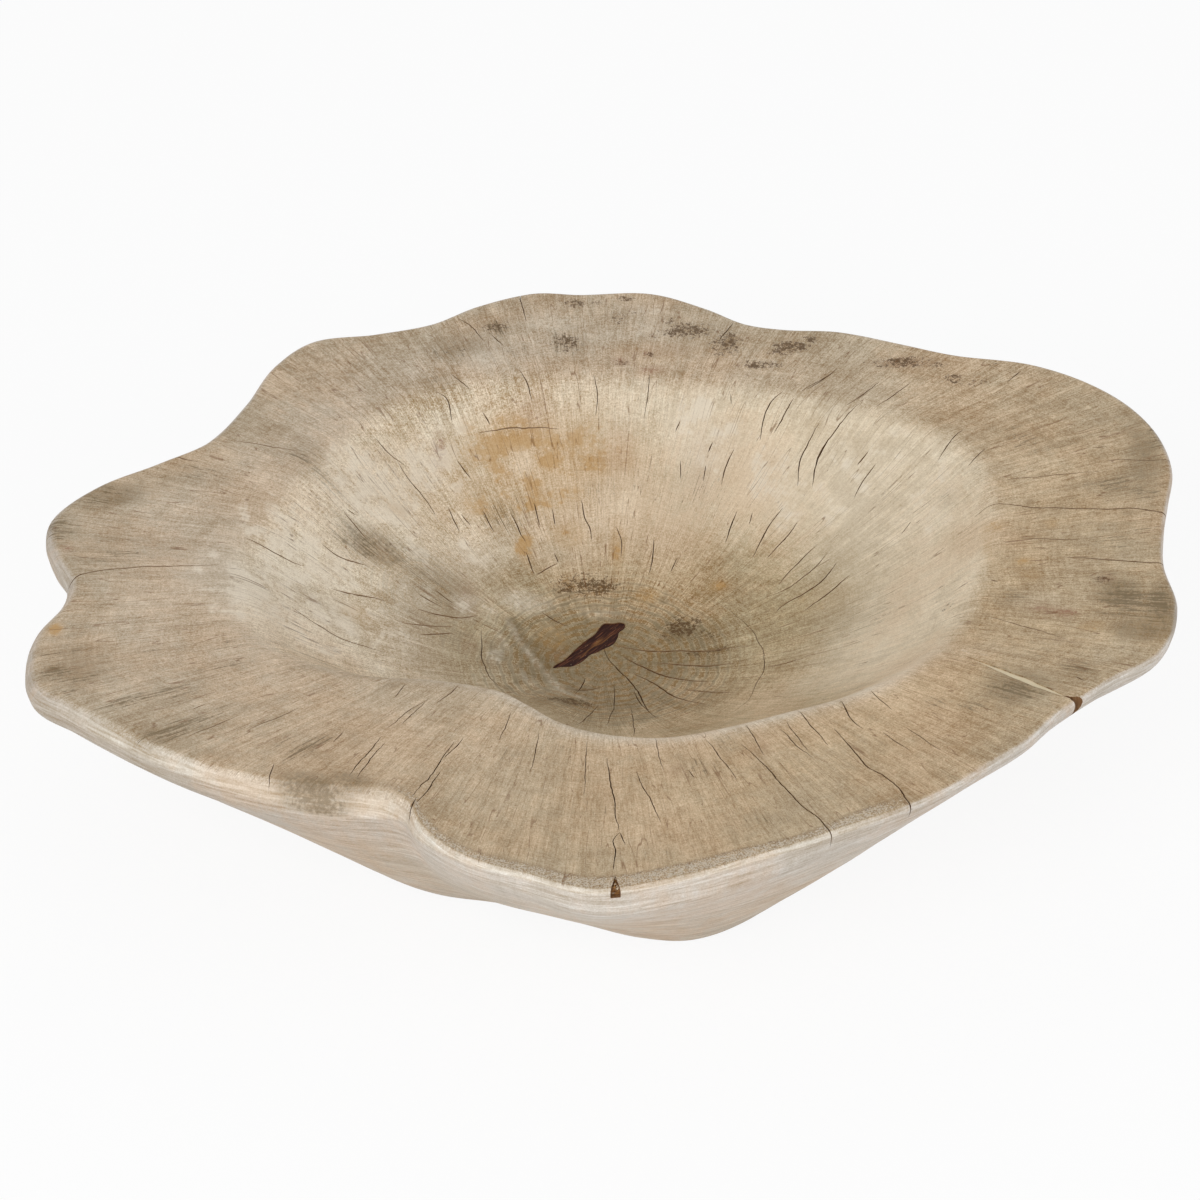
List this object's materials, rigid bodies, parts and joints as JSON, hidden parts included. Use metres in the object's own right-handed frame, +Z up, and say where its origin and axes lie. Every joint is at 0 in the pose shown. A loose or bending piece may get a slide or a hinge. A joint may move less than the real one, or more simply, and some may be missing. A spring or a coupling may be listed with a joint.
{
  "type": "wooden bowl",
  "caption": "Wide free-form bowl carved from one slice of a lobed log, with a broad flat rim, a deep hollow round the heart of the log, filled splits and a small flat underside.",
  "frame": {"origin": "middle of the outline, on the surface that the bowl stands on", "axes": "+X to the right along the longest extent, +Y to the back, away from the filled front split, +Z up"},
  "size_m": [0.6, 0.5346, 0.12],
  "materials": {
    "bleached_wood": "bleached, sanded and waxed, satin",
    "dark_filler": "dark tinted resin filler, satin",
    "pale_putty": "pale wood putty, sanded flush, matt",
    "brown_filler": "crumbled brown wood and dust, rough"
  },
  "bodies": {
    "root": {"bowl_body": "bleached_wood", "heart_fill": "dark_filler", "side_fill": "pale_putty", "front_fill": "brown_filler"}
  },
  "joints": []
}
